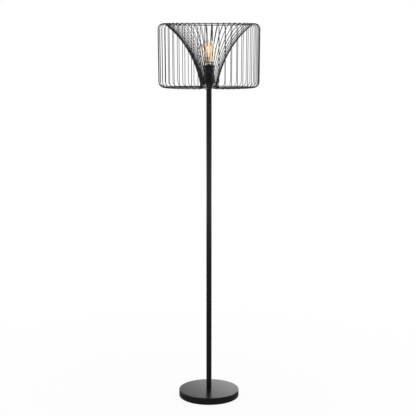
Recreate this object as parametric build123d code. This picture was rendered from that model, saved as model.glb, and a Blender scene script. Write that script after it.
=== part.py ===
from build123d import *
import math
import os

os.makedirs("parts", exist_ok=True)

# A floor lamp with a wire cage shade. Millimetres, +Z up. The origin is the middle of the foot, on the floor,
# and the pole stands on the Z axis. The gland for the lead is at the back, on the +Y side.

# ---- fits shared by all pieces
thread_gap = 0.05  # radial play between a thread's two halves, which are drawn plain
press_gap = 0.05  # radial play of a plug pressed into a tube
slip_gap = 0.3  # radial play of a piece that drops into another
hole_gap = 0.25  # radial play of a clearance hole around a nipple
weld_sink = 0.2  # how far a spot weld sinks one wire into its neighbour
cutter_spare = 5.0  # how far a cutter reaches past what it cuts

# ---- base
base_dia = 250.0
cover_height = 27.0
cover_wall = 1.2
cover_edge = 1.8  # rounding of the cover's top edge
pad_thick = 2.0
pad_inset = 1.5  # the felt stays inside the cover's edge
recess_dia = 56.0  # pocket under the weight for the nut
recess_depth = 12.0
channel_width = 12.0  # groove under the weight for the lead
washer_dia = 44.0
washer_thick = 2.0
lock_washer_dia = 18.0
lock_washer_thick = 1.6
lock_washer_slit = 2.0
nut_flats = 17.0
nut_thick = 5.0
nipple_dia = 10.0
nipple_bore = 7.5
nipple_tail = 1.5  # bottom nipple below its nut

# ---- gland for the lead
gland_bore = 6.6
gland_neck_dia = 10.0
gland_flange_dia = 14.0
gland_flange = 2.2
gland_tail = 3.2  # its neck inside the wall
gland_rise = 9.0  # its axis above the floor

# ---- pole
pole_dia = 22.0
pole_wall = 1.2
pole_length = 1272.0
tube_count = 3
insert_length = 20.0
nipple_grip = 15.0  # nipple inside an insert
stud_dia = 14.0
stud_bore = 9.0
stud_length = 16.0
socket_length = 30.0
socket_spare = 2.0  # empty thread past the stud's end

# ---- cup between pole and lampholder
cup_height = 8.0
cup_dia = 40.0
cup_lip = 2.0
cup_wall = 1.2
cup_floor = 1.5

# ---- cage shade
cage_dia = 410.0
cage_height = 255.5
wire_dia = 2.5
wire_count = 48
first_wire_angle = 3.0  # degrees from +X
wires_per_node = 4
wall_top_bend = 22.0  # bend radii are measured to the wire's middle
wall_foot_bend = 22.0
wall_lean = 0.5  # degrees from the vertical, narrower at the foot
neck_bend = 12.0
crest_bend = 6.0  # where a loop turns over the top ring
neck_dia = 70.0
funnel_neck_slope = 10.0  # degrees from the vertical at the foot of the funnel
funnel_mid_slope = 36.0  # the same where its two arcs meet
funnel_rim_slope = 54.0
ring_wire_dia = 3.5
cage_drop = 19.5  # the fitter plate's underside above the cage's lowest point

# ---- fitter plate
plate_thick = 2.0
plate_rim_width = 4.0
plate_arm_width = 7.0
plate_arms = 3

# ---- lampholder
holder_foot_dia = 47.5
holder_foot_height = 13.0
holder_foot_bevel = 3.0
holder_cap_height = 31.0
holder_cap_top_dia = 43.2
holder_cap_bore = 39.2
holder_ledge_bore = 32.0
holder_ledge_height = 15.0
holder_floor = 4.0
holder_entry_dia = 16.0  # threaded boss around the nipple
holder_entry_height = 10.0
holder_edge = 1.0
skirt_height = 37.0  # skirt above the cap
skirt_dia = 40.6
skirt_bore = 32.4
skirt_rim_dia = 46.0
skirt_rim_height = 7.0
skirt_rim_slope = 3.0
insert_flange = 4.0
ceramic_dia = 31.0
ceramic_below = 3.0
ceramic_above = 14.0
shell_bore = 26.9
shell_wall = 0.4
shell_height = 31.0
contact_head_dia = 9.0
contact_head = 0.8
contact_stem_dia = 4.0
contact_stem = 16.0
contact_play = 0.1
contact_well_dia = 9.6  # pocket in the ceramic for the contact spring
contact_well_depth = 6.0
contact_reach = 11.0  # top of the contact above the ceramic, with the bulb home
spring_wire = 0.7
spring_dia = 7.0
spring_turns = 5
terminal_width = 5.0
terminal_length = 8.0
terminal_height = 6.5
terminal_offset = 12.0
screw_dia = 3.0
screw_length = 5.5
screw_head_dia = 5.2
screw_head = 2.0
grub_dia = 4.0
grub_length = 3.0

# ---- bulb
bulb_dia = 58.0
bulb_height = 123.5  # eyelet to crown
bulb_wall = 0.8
bulb_neck_dia = 25.2
bulb_neck_height = 29.0  # top of the straight neck above the eyelet's face
bulb_neck_foot = 15.0
bulb_flare = 4.0  # bend radius where the neck widens
bulb_shoulder = 9.0  # bend radius above the flare
bulb_shoulder_slope = 65.0  # steepest, in degrees from the vertical
cap_dia = 26.5
cap_wall = 0.35
cap_foot = 7.0  # bottom of the threaded sleeve above the eyelet's face
cap_height = 20.0
insulator_dia = 23.0
insulator_collar = 3.0  # its part inside the sleeve
insulator_bore = 2.0
eyelet_dia = 9.5
eyelet_thick = 1.6
eyelet_bore = 1.2
stem_rise = 1.0  # the stem's foot above the glass's
stem_flare_dia = 22.6
stem_tube_dia = 8.0
stem_flare_height = 14.0
stem_height = 34.0
pillar_dia = 2.6
pillar_height = 44.0
filament_dia = 2.2
filament_rise = 1.0  # the filaments' feet above the stem
filament_count = 4
filament_length = 42.0
filament_foot_r = 5.2
filament_top_r = 9.0
support_dia = 0.8
support_drop = 6.0  # where the lower wires leave the stem, below its top

# ---- heights above the floor, each stacked on the one before
base_top = pad_thick + cover_height
recess_top = pad_thick + recess_depth
washer_foot = recess_top - washer_thick
lock_foot = washer_foot - lock_washer_thick
nut_foot = lock_foot - nut_thick
pole_top = base_top + pole_length
tube_length = pole_length / tube_count
plate_foot = pole_top + cup_height
plate_top = plate_foot + plate_thick
cage_foot = plate_foot - cage_drop
cage_top = cage_foot + cage_height
holder_ledge = plate_top + holder_ledge_height
holder_seam = plate_top + holder_cap_height
ceramic_top = holder_ledge + insert_flange + ceramic_above
contact_top = ceramic_top + contact_reach
holder_top = holder_seam + skirt_height

# ---- radii used by more than one piece
nipple_r = nipple_dia / 2
threaded_r = nipple_r + thread_gap
clear_r = nipple_r + hole_gap
pole_r = pole_dia / 2
plug_r = pole_r - pole_wall - press_gap
cup_r = cup_dia / 2
holder_seat_r = holder_foot_dia / 2 - holder_foot_bevel
wire_r = wire_dia / 2
neck_r = neck_dia / 2


def save(name, *solids):
    """Writes one node, a group of separate solids where it has several."""
    shape = solids[0] if len(solids) == 1 else Compound(list(solids))
    export_step(shape, f"parts/{name}.step")


def turned(*points):
    """A solid turned about the Z axis from its half section, given as (radius, height) corners."""
    return revolve(make_face(Polyline(*[(r, 0, z) for r, z in points], close=True)), Axis.Z)


def tube(outer_r, inner_r, foot, top):
    """A plain tube or bush on the Z axis."""
    return turned((inner_r, foot), (outer_r, foot), (outer_r, top), (inner_r, top))


def rod(start, end, dia):
    """A straight round rod between two points."""
    path = Vector(*end) - Vector(*start)
    return Plane(origin=start, z_dir=path) * extrude(Circle(dia / 2), path.length)


def around_z(shape, count, first=0.0):
    """Copies of a shape, evenly spaced about the Z axis."""
    return [Rot(0, 0, first + i * 360 / count) * shape for i in range(count)]


# ================================================================ base
# Pressed steel shell, open below, with a hole for the nipple in the top and one for the gland in the back.
def base_cover():
    base_r = base_dia / 2
    shell = turned((0, pad_thick), (base_r, pad_thick), (base_r, base_top), (0, base_top))
    shell = fillet(shell.edges().group_by(Axis.Z)[-1], cover_edge)
    inside_r = base_r - cover_wall
    shell -= turned(
        (0, pad_thick), (inside_r, pad_thick), (inside_r, base_top - cover_wall), (0, base_top - cover_wall)
    )
    shell -= Pos(0, 0, base_top) * Cylinder(clear_r, 2 * (cover_wall + cutter_spare))
    wall = Plane(origin=(0, base_r, gland_rise), z_dir=(0, 1, 0))
    return shell - wall * Cylinder(gland_neck_dia / 2 + slip_gap, 2 * (cover_wall + cutter_spare))


# Cast disc that fills the shell. The nut sits in a pocket underneath, and a groove leads on to the gland.
def base_weight():
    weight_r = base_dia / 2 - cover_wall - slip_gap
    weight_top = base_top - cover_wall
    groove_top = gland_rise + channel_width / 2
    weight = tube(weight_r, clear_r, pad_thick, weight_top)
    weight -= Pos(0, 0, pad_thick) * Cylinder(
        recess_dia / 2, recess_depth, align=(Align.CENTER, Align.CENTER, Align.MIN)
    )
    groove = Pos(0, 0, pad_thick) * Box(
        channel_width, base_dia, groove_top - pad_thick, align=(Align.CENTER, Align.MIN, Align.MIN)
    )
    return weight - groove


# Spring washer: a flat ring with a slit.
def lock_washer():
    ring = tube(lock_washer_dia / 2, clear_r, lock_foot, washer_foot)
    slit = Pos(0, 0, lock_foot) * Box(
        lock_washer_dia, lock_washer_slit, lock_washer_thick, align=(Align.MIN, Align.CENTER, Align.MIN)
    )
    return ring - slit


def base_nut():
    blank = Pos(0, 0, nut_foot) * extrude(RegularPolygon(nut_flats / 2, 6, major_radius=False), nut_thick)
    return blank - Pos(0, 0, nut_foot) * Cylinder(threaded_r, 2 * (nut_thick + cutter_spare))


# Flanged bush through the cover's back wall, with its flange curved to the wall.
def cord_gland():
    base_r = base_dia / 2
    axis = Plane(origin=(0, base_r, gland_rise), z_dir=(0, 1, 0))
    neck_length = cover_wall + gland_tail
    neck = axis * extrude(Circle(gland_neck_dia / 2), -neck_length)
    neck += axis * extrude(Circle(gland_neck_dia / 2), gland_flange)
    flange = axis * extrude(Circle(gland_flange_dia / 2), gland_flange)
    flange += axis * extrude(Circle(gland_flange_dia / 2), -cover_wall)
    flange -= Pos(0, 0, gland_rise) * Cylinder(base_r + press_gap, 2 * gland_flange_dia)
    return neck + flange - axis * Cylinder(gland_bore / 2, 2 * (neck_length + cutter_spare))


save("base_pad", tube(base_dia / 2 - pad_inset, recess_dia / 2, 0, pad_thick))
save("base_cover", base_cover())
save("base_weight", base_weight())
save("base_washer", tube(washer_dia / 2, clear_r, washer_foot, recess_top))
save("lock_washer", lock_washer())
save("base_nut", base_nut())
save("bottom_nipple", tube(nipple_r, nipple_bore / 2, nut_foot - nipple_tail, base_top + nipple_grip))
save("cord_gland", cord_gland())


# ================================================================ pole
# Three equal tubes. Each joint has a threaded socket in the lower tube and a stud in the upper one.
def pole_tube(index):
    foot = base_top + index * tube_length
    return tube(pole_r, pole_r - pole_wall, foot, foot + tube_length)


def joint_socket(seam):
    thread_r = stud_dia / 2 + thread_gap
    thread_foot = seam - stud_length - socket_spare
    return turned(
        (stud_bore / 2, seam - socket_length),
        (plug_r, seam - socket_length),
        (plug_r, seam),
        (thread_r, seam),
        (thread_r, thread_foot),
        (stud_bore / 2, thread_foot),
    )


def joint_stud(seam):
    return turned(
        (stud_bore / 2, seam - stud_length),
        (stud_dia / 2, seam - stud_length),
        (stud_dia / 2, seam),
        (plug_r, seam),
        (plug_r, seam + insert_length),
        (stud_bore / 2, seam + insert_length),
    )


seams = [base_top + i * tube_length for i in range(1, tube_count)]
save("bottom_insert", tube(plug_r, threaded_r, base_top, base_top + insert_length))
save("lower_tube", pole_tube(0))
save("middle_tube", *[pole_tube(i) for i in range(1, tube_count - 1)])
save("upper_tube", pole_tube(tube_count - 1))
save("joint_sockets", *[joint_socket(seam) for seam in seams])
save("joint_studs", *[joint_stud(seam) for seam in seams])
save("top_insert", tube(plug_r, threaded_r, pole_top - insert_length, pole_top))
save(
    "top_nipple",
    tube(nipple_r, nipple_bore / 2, pole_top - nipple_grip, plate_top + holder_entry_height - nipple_tail),
)


# Spun cup: a short cone from the pole's width to the lampholder's, with a flat floor on the tube's end.
def pole_cup():
    cone_top = plate_foot - cup_lip
    return turned(
        (clear_r, pole_top),
        (pole_r, pole_top),
        (cup_r, cone_top),
        (cup_r, plate_foot),
        (cup_r - cup_wall, plate_foot),
        (cup_r - cup_wall, cone_top),
        (pole_r - cup_wall / 2, pole_top + cup_floor),
        (clear_r, pole_top + cup_floor),
    )


save("pole_cup", pole_cup())


# ================================================================ cage shade
# Flat steel spider: a disc under the lampholder, arms, and a rim inside the neck of the wires.
def fitter_plate():
    rim_r = funnel_radius(plate_foot) - wire_r + weld_sink
    plate = Circle(rim_r) - Circle(rim_r - plate_rim_width) + Circle(holder_seat_r)
    arm = Rectangle(rim_r - plate_rim_width / 2, plate_arm_width, align=(Align.MIN, Align.CENTER))
    for copy in around_z(arm, plate_arms, -90):
        plate += copy
    return Pos(0, 0, plate_foot) * extrude(plate - Circle(clear_r), plate_thick)


# One wire, bent in the XZ plane into a closed loop: inwards over the top ring, down the funnel in two arcs,
# out at the neck, along the flat bottom and up the leaning outer wall. A step is a straight length, or a
# bend's radius and angle.
wall_r = cage_dia / 2 - wire_r
crest_r = wall_r - wall_top_bend
low_z = cage_foot + wire_r
high_z = cage_top - wire_r


def funnel_start():
    """Where the funnel's lower arc starts, on the neck's bend: distance from the axis and height."""
    slope = math.radians(funnel_neck_slope)
    return neck_r + neck_bend * (1 - math.cos(slope)), low_z + neck_bend * (1 + math.sin(slope))


def funnel_radii():
    """The two arc radii that carry the funnel from the neck's slope to the rim's."""
    neck, mid, rim = [math.radians(a) for a in (funnel_neck_slope, funnel_mid_slope, funnel_rim_slope)]
    start_r, start_z = funnel_start()
    reach = crest_r - crest_bend * math.cos(rim) - start_r
    rise = high_z - crest_bend * (1 - math.sin(rim)) - start_z
    lower_reach, lower_rise = math.cos(neck) - math.cos(mid), math.sin(mid) - math.sin(neck)
    upper_reach, upper_rise = math.cos(mid) - math.cos(rim), math.sin(rim) - math.sin(mid)
    scale = lower_reach * upper_rise - upper_reach * lower_rise
    lower = (reach * upper_rise - upper_reach * rise) / scale
    upper = (lower_reach * rise - lower_rise * reach) / scale
    return lower, upper


def funnel_radius(height):
    """Distance from the axis to the wires' middle at a height in the funnel's lower arc."""
    lower, _ = funnel_radii()
    start_r, start_z = funnel_start()
    slope = math.radians(funnel_neck_slope)
    slope_there = math.asin(math.sin(slope) + (height - start_z) / lower)
    return start_r + lower * (math.cos(slope) - math.cos(slope_there))


def wire_steps():
    lower, upper = funnel_radii()
    lean = math.radians(wall_lean)
    wall_rise = high_z - wall_top_bend * (1 + math.sin(lean)) - low_z - wall_foot_bend * (1 - math.sin(lean))
    wall = wall_rise / math.cos(lean)
    wall_foot_r = crest_r + wall_top_bend * math.cos(lean) - wall * math.sin(lean)
    bottom = wall_foot_r - wall_foot_bend * math.cos(lean) - neck_r - neck_bend
    return [
        (crest_bend, 90 - funnel_rim_slope),
        (upper, funnel_rim_slope - funnel_mid_slope),
        (lower, funnel_mid_slope - funnel_neck_slope),
        (neck_bend, 90 + funnel_neck_slope),
        (0, bottom),
        (wall_foot_bend, 90 - wall_lean),
        (0, wall),
        (wall_top_bend, 90 + wall_lean),
    ]


def wire_loop():
    """Straight runs and bends laid end to end from the crest, each starting where the last one stopped."""
    place, heading = Vector(crest_r, 0, high_z), Vector(-1, 0, 0)
    loop = None
    for radius, amount in wire_steps():
        section = Plane(origin=place, x_dir=(0, 1, 0), z_dir=heading) * Circle(wire_r)
        if radius:
            pivot = Axis(place + heading.cross(Vector(0, 1, 0)) * radius, (0, -1, 0))
            run = revolve(section, pivot, amount)
            place = pivot.position + (place - pivot.position).rotate(Axis((0, 0, 0), (0, -1, 0)), amount)
            heading = heading.rotate(Axis((0, 0, 0), (0, -1, 0)), amount)
        else:
            run = extrude(section, amount, dir=heading)
            place += heading * amount
        loop = run if loop is None else loop + run
    return loop


# The ring lies inside the bend at the top of the loops.
def top_ring():
    crest_middle = math.radians((90 - funnel_rim_slope) / 2)
    inset = crest_bend - wire_r - ring_wire_dia / 2 + weld_sink
    ring_r = crest_r - inset * math.sin(crest_middle)
    ring_z = high_z - crest_bend + inset * math.cos(crest_middle)
    return Pos(0, 0, ring_z) * Torus(ring_r, ring_wire_dia / 2)


save("fitter_plate", fitter_plate())
save("top_ring", top_ring())
wires = around_z(wire_loop(), wire_count, first_wire_angle)
for number, first in enumerate(range(0, wire_count, wires_per_node), 1):
    save(f"cage_wires_{number:02d}", *wires[first : first + wires_per_node])


# ================================================================ lampholder
def holder_cap():
    foot_r, bore_r, ledge_r = holder_foot_dia / 2, holder_cap_bore / 2, holder_ledge_bore / 2
    entry_r, floor_top = holder_entry_dia / 2, plate_top + holder_floor
    return turned(
        (threaded_r, plate_top),
        (holder_seat_r, plate_top),
        (foot_r, plate_top + holder_foot_bevel),
        (foot_r, plate_top + holder_foot_height),
        (holder_cap_top_dia / 2, holder_seam),
        (bore_r, holder_seam),
        (bore_r, holder_ledge),
        (ledge_r, holder_ledge),
        (ledge_r, floor_top),
        (entry_r, floor_top),
        (entry_r, plate_top + holder_entry_height),
        (threaded_r, plate_top + holder_entry_height),
    )


# The skirt screws into the cap, presses the ceramic on its ledge, and ends in a wider rim.
def holder_skirt():
    spigot_r = holder_cap_bore / 2 - thread_gap
    rim_foot = holder_top - skirt_rim_height
    return turned(
        (skirt_bore / 2, holder_ledge + insert_flange),
        (spigot_r, holder_ledge + insert_flange),
        (spigot_r, holder_seam),
        (skirt_dia / 2, holder_seam),
        (skirt_dia / 2, rim_foot - skirt_rim_slope),
        (skirt_rim_dia / 2, rim_foot),
        (skirt_rim_dia / 2, holder_top - holder_edge),
        (skirt_rim_dia / 2 - holder_edge, holder_top),
        (skirt_bore / 2, holder_top),
    )


def ceramic_insert():
    flange_r = holder_cap_bore / 2 - slip_gap
    body_r = ceramic_dia / 2
    flange_top = holder_ledge + insert_flange
    stem_r = contact_stem_dia / 2 + contact_play
    well_r, well_floor = contact_well_dia / 2, ceramic_top - contact_well_depth
    return turned(
        (stem_r, holder_ledge - ceramic_below),
        (body_r, holder_ledge - ceramic_below),
        (body_r, holder_ledge),
        (flange_r, holder_ledge),
        (flange_r, flange_top),
        (body_r, flange_top),
        (body_r, ceramic_top),
        (well_r, ceramic_top),
        (well_r, well_floor),
        (stem_r, well_floor),
    )


# Mushroom-shaped contact: its stem runs in the ceramic, and its head meets the bulb's eyelet.
def centre_contact():
    head_foot = contact_top - contact_head
    head_r, stem_r = contact_head_dia / 2, contact_stem_dia / 2
    return turned(
        (0, contact_top - contact_stem),
        (stem_r, contact_top - contact_stem),
        (stem_r, head_foot),
        (head_r, head_foot),
        (head_r, contact_top),
        (0, contact_top),
    )


# Coil spring between the well's floor and the contact's head.
def contact_spring():
    foot = ceramic_top - contact_well_depth + spring_wire / 2 + thread_gap
    height = contact_top - contact_head - spring_wire / 2 - thread_gap - foot
    path = Pos(0, 0, foot) * Helix(height / spring_turns, height, spring_dia / 2)
    start = Plane(origin=path @ 0, z_dir=path % 0)
    return sweep(start * Circle(spring_wire / 2), path, is_frenet=True)


# Brass blocks under the ceramic, one each side of the entry, each with a screw in its side.
def terminal_blocks():
    top = holder_ledge - ceramic_below
    below = (Align.CENTER, Align.CENTER, Align.MAX)
    block = Pos(terminal_offset, 0, top) * Box(terminal_width, terminal_length, terminal_height, align=below)
    block -= screw_axis() * Cylinder(screw_dia / 2 + thread_gap, 2 * (terminal_length + cutter_spare))
    return [block, Rot(0, 0, 180) * block]


def screw_axis():
    """Plane at a terminal screw's seat, pointing out of the block."""
    height = holder_ledge - ceramic_below - terminal_height / 2
    return Plane(origin=(terminal_offset, -terminal_length / 2, height), z_dir=(0, -1, 0))


def terminal_screws():
    seat = screw_axis()
    screw = seat * extrude(Circle(screw_dia / 2), -screw_length) + seat * extrude(
        Circle(screw_head_dia / 2), screw_head
    )
    return [screw, Rot(0, 0, 180) * screw]


# The cap's boss has a tapped hole on the -Y side for this screw, which bites on the nipple.
def grub_place():
    height = plate_top + (holder_floor + holder_entry_height) / 2
    return Plane(origin=(0, -threaded_r, height), z_dir=(0, -1, 0))


boss_wall = holder_entry_dia / 2 - threaded_r
grub_hole = grub_place() * extrude(Circle(grub_dia / 2 + thread_gap), boss_wall + slip_gap)
save("holder_cap", holder_cap() - grub_hole)
save("grub_screw", grub_place() * extrude(Circle(grub_dia / 2), grub_length))
save("holder_skirt", holder_skirt())
save("ceramic_insert", ceramic_insert())
shell_r = shell_bore / 2
save("screw_shell", tube(shell_r + shell_wall, shell_r, ceramic_top, ceramic_top + shell_height))
save("centre_contact", centre_contact())
save("contact_spring", contact_spring())
save("terminal_blocks", *terminal_blocks())
save("terminal_screws", *terminal_screws())


# ================================================================ bulb
eyelet_foot = contact_top
sleeve_foot = eyelet_foot + cap_foot
sleeve_top = sleeve_foot + cap_height
glass_foot = eyelet_foot + bulb_neck_foot
stem_foot = glass_foot + stem_rise
stem_top = eyelet_foot + cap_foot + stem_height + stem_flare_height
crown = eyelet_foot + bulb_height


def bow(middle, radius, first, last):
    """An arc in the XZ plane about a point (x, z), from one angle in degrees to another."""
    angles = [math.radians(degrees) for degrees in (first, (first + last) / 2, last)]
    points = [(middle[0] + radius * math.cos(a), 0, middle[1] + radius * math.sin(a)) for a in angles]
    return ThreePointArc(*points)


def pear(shrink):
    """The bulb's body: a neck, a flare, a shoulder, and a cone that touches both shoulder and ball."""
    ball_r, mid_z = bulb_dia / 2 - shrink, crown - bulb_dia / 2
    neck = bulb_neck_dia / 2 - shrink
    flare_r, shoulder_r = bulb_flare + shrink, bulb_shoulder - shrink
    neck_top = eyelet_foot + bulb_neck_height
    slope = math.radians(bulb_shoulder_slope)
    flare_middle = (neck + flare_r, neck_top)
    shoulder_middle = (
        flare_middle[0] - (flare_r + shoulder_r) * math.cos(slope),
        flare_middle[1] + (flare_r + shoulder_r) * math.sin(slope),
    )
    drop = mid_z - shoulder_middle[1]
    lean = math.asin((ball_r - shoulder_r) / math.hypot(shoulder_middle[0], drop))
    lean = math.degrees(lean - math.atan2(shoulder_middle[0], drop))
    flare = bow(flare_middle, flare_r, 180, 180 - bulb_shoulder_slope)
    shoulder = bow(shoulder_middle, shoulder_r, -bulb_shoulder_slope, -lean)
    ball = bow((0, mid_z), ball_r, -lean, 90)
    neck_side = Polyline((0, 0, glass_foot), (neck, 0, glass_foot), (neck, 0, neck_top))
    cone_side = Line(shoulder @ 1, ball @ 0)
    middle = Line((0, 0, mid_z + ball_r), (0, 0, glass_foot))
    return revolve(make_face([neck_side, flare, shoulder, cone_side, ball, middle]), Axis.Z)


def bulb_cap():
    sleeve_r = cap_dia / 2
    return turned(
        (insulator_dia / 2 + press_gap, sleeve_foot),
        (sleeve_r - cap_wall, sleeve_foot),
        (sleeve_r, sleeve_foot + cap_wall),
        (sleeve_r, sleeve_top),
        (sleeve_r - cap_wall, sleeve_top),
        (sleeve_r - cap_wall, sleeve_foot + cap_wall),
        (insulator_dia / 2 + press_gap, sleeve_foot + cap_wall),
    )


# Black glass cone that closes the cap and holds the eyelet.
def bulb_insulator():
    return turned(
        (insulator_bore / 2, eyelet_foot + eyelet_thick),
        (eyelet_dia / 2, eyelet_foot + eyelet_thick),
        (insulator_dia / 2, sleeve_foot),
        (insulator_dia / 2, sleeve_foot + insulator_collar),
        (insulator_bore / 2, sleeve_foot + insulator_collar),
    )


def bulb_stem():
    tube_r, pillar_r = stem_tube_dia / 2, pillar_dia / 2
    flare_top = stem_foot + stem_flare_height
    return turned(
        (tube_r - bulb_wall, stem_foot),
        (stem_flare_dia / 2, stem_foot),
        (tube_r, flare_top),
        (tube_r, stem_top - tube_r),
        (pillar_r, stem_top),
        (pillar_r, stem_top + pillar_height),
        (0, stem_top + pillar_height),
        (0, stem_top - tube_r),
        (tube_r - bulb_wall, stem_top - 2 * tube_r),
    )


filament_foot = stem_top + filament_rise
filament_top = filament_foot + math.sqrt(filament_length**2 - (filament_top_r - filament_foot_r) ** 2)


def bulb_filament():
    return rod((filament_foot_r, 0, filament_foot), (filament_top_r, 0, filament_top), filament_dia)


def bulb_supports():
    """A wire from the pillar to the top of each filament, and one from the stem to its foot."""
    pillar_side = pillar_dia / 2 + thread_gap
    stem_side = (stem_tube_dia + support_dia) / 2 + thread_gap
    top_z = filament_top + support_dia
    top_wire = rod((pillar_side, 0, top_z), (filament_top_r, 0, top_z), support_dia)
    foot_end = (filament_foot_r, 0, filament_foot - slip_gap)
    foot_wire = rod((stem_side, 0, stem_top - support_drop), foot_end, support_dia)
    return around_z(top_wire, filament_count, 45) + around_z(foot_wire, filament_count, 45)


save("bulb_glass", pear(0) - pear(bulb_wall))
save("bulb_cap", bulb_cap())
save("bulb_insulator", bulb_insulator())
save("bulb_eyelet", tube(eyelet_dia / 2, eyelet_bore / 2, eyelet_foot, eyelet_foot + eyelet_thick))
save("bulb_stem", bulb_stem())
save("bulb_filaments", *around_z(bulb_filament(), filament_count, 45))
save("bulb_supports", *bulb_supports())
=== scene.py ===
# A wire cage floor lamp on a round base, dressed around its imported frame. Metres, +Z up, the pole on Z.
import math
import random

import bpy
from mathutils import Matrix, Vector


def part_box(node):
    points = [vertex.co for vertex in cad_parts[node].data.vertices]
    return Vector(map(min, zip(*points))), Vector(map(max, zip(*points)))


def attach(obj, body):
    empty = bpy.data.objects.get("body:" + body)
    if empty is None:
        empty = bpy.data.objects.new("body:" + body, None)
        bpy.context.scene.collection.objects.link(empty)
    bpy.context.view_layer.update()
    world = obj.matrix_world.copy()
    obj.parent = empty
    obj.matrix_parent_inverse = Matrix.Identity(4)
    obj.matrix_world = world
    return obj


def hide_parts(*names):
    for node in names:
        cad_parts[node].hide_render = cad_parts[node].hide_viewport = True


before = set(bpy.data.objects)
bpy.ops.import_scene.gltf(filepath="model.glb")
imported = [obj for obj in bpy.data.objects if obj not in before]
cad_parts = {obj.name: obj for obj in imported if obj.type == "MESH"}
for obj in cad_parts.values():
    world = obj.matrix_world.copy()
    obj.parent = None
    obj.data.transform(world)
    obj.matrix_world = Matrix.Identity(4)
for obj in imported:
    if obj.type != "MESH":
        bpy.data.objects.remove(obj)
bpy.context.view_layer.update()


# ---------------------------------------------------------------- felt pad
# A ring of pressed wool felt glued under the base, so that steel never touches the floor. It is dull, and
# short fibres roughen it.
MM = 0.001
FIBRE = 0.6 * MM  # tufts, drawn coarser than the real fibres, which are too fine to show


def linear(hex_colour):
    """An sRGB hex colour as linear RGBA."""
    parts = [int(hex_colour[i : i + 2], 16) / 255 for i in (1, 3, 5)]
    return [c / 12.92 if c <= 0.04045 else ((c + 0.055) / 1.055) ** 2.4 for c in parts] + [1.0]


def start_material(name):
    """A material that holds no nodes yet."""
    material = bpy.data.materials.new(name)
    material.use_nodes = True
    material.node_tree.nodes.clear()
    return material


def add_node(material, kind, settings=None, links=None):
    """Adds a node, sets its named inputs or properties, and links its inputs to other nodes' outputs."""
    node = material.node_tree.nodes.new(kind)
    for name, value in (settings or {}).items():
        if isinstance(name, int) or name in node.inputs:
            node.inputs[name].default_value = value
        else:
            setattr(node, name, value)
    for name, output in (links or {}).items():
        material.node_tree.links.new(output, node.inputs[name])
    return node


def wear(material, *pieces):
    """Gives each piece this one material."""
    for piece in pieces:
        piece.data.materials.clear()
        piece.data.materials.append(material)


felt = start_material("Wool felt, pressed")
felt_place = add_node(felt, "ShaderNodeTexCoord")
felt_fibres = add_node(
    felt,
    "ShaderNodeTexNoise",
    {"Scale": 1 / FIBRE, "Detail": 6.0, "Roughness": 0.7},
    {"Vector": felt_place.outputs["Object"]},
)
felt_colour = add_node(felt, "ShaderNodeValToRGB", links={"Fac": felt_fibres.outputs["Fac"]})
felt_colour.color_ramp.elements[0].color = linear("#121212")
felt_colour.color_ramp.elements[1].color = linear("#2a2a2a")
felt_bump = add_node(
    felt,
    "ShaderNodeBump",
    {"Strength": 0.8, "Distance": 0.3 * MM},
    {"Height": felt_fibres.outputs["Fac"]},
)
felt_face = add_node(
    felt,
    "ShaderNodeBsdfPrincipled",
    {"Roughness": 0.95, "Sheen Weight": 0.3, "Sheen Roughness": 0.6},
    {"Base Color": felt_colour.outputs["Color"], "Normal": felt_bump.outputs["Normal"]},
)
add_node(felt, "ShaderNodeOutputMaterial", links={"Surface": felt_face.outputs["BSDF"]})
wear(felt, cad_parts["base_pad"])


# ---------------------------------------------------------------- ballast weight
# A raw iron casting fills the base, so that the lamp stands firm. The sand mould leaves it rough, dull and
# dark grey, with a coarse grain.
CAST_GRAIN = 2.5 * MM
cast = start_material("Cast iron, raw")
cast_place = add_node(cast, "ShaderNodeTexCoord")
cast_grain = add_node(
    cast,
    "ShaderNodeTexNoise",
    {"Scale": 1 / CAST_GRAIN, "Detail": 5.0},
    {"Vector": cast_place.outputs["Object"]},
)
cast_colour = add_node(cast, "ShaderNodeValToRGB", links={"Fac": cast_grain.outputs["Fac"]})
cast_colour.color_ramp.elements[0].color = linear("#3a3836")
cast_colour.color_ramp.elements[1].color = linear("#5d5a56")
cast_bump = add_node(
    cast,
    "ShaderNodeBump",
    {"Strength": 0.7, "Distance": 0.4 * MM},
    {"Height": cast_grain.outputs["Fac"]},
)
cast_face = add_node(
    cast,
    "ShaderNodeBsdfPrincipled",
    {"Roughness": 0.75, "Metallic": 0.6},
    {"Base Color": cast_colour.outputs["Color"], "Normal": cast_bump.outputs["Normal"]},
)
add_node(cast, "ShaderNodeOutputMaterial", links={"Surface": cast_face.outputs["BSDF"]})
wear(cast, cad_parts["base_weight"])


# ---------------------------------------------------------------- washers, nut and nipple in the base
# A nut on a hollow nipple clamps cover and weight to the pole, over a large washer and a spring washer. They
# are steel, turned or stamped, and zinc plating makes them a pale, slightly mottled satin.
MOTTLE = 3.0 * MM
zinc = start_material("Steel, zinc plated")
zinc_place = add_node(zinc, "ShaderNodeTexCoord")
zinc_mottle = add_node(
    zinc,
    "ShaderNodeTexVoronoi",
    {"Scale": 1 / MOTTLE, "Randomness": 1.0},
    {"Vector": zinc_place.outputs["Object"]},
)
zinc_colour = add_node(zinc, "ShaderNodeValToRGB", links={"Fac": zinc_mottle.outputs["Distance"]})
zinc_colour.color_ramp.elements[0].color = linear("#b9bab6")
zinc_colour.color_ramp.elements[1].color = linear("#cfd0cd")
zinc_rough = add_node(
    zinc,
    "ShaderNodeMapRange",
    {"To Min": 0.28, "To Max": 0.42},
    {"Value": zinc_mottle.outputs["Distance"]},
)
zinc_face = add_node(
    zinc,
    "ShaderNodeBsdfPrincipled",
    {"Metallic": 1.0},
    {"Base Color": zinc_colour.outputs["Color"], "Roughness": zinc_rough.outputs["Result"]},
)
add_node(zinc, "ShaderNodeOutputMaterial", links={"Surface": zinc_face.outputs["BSDF"]})
for node in ("base_washer", "lock_washer", "base_nut", "bottom_nipple"):
    wear(zinc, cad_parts[node])


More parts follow.
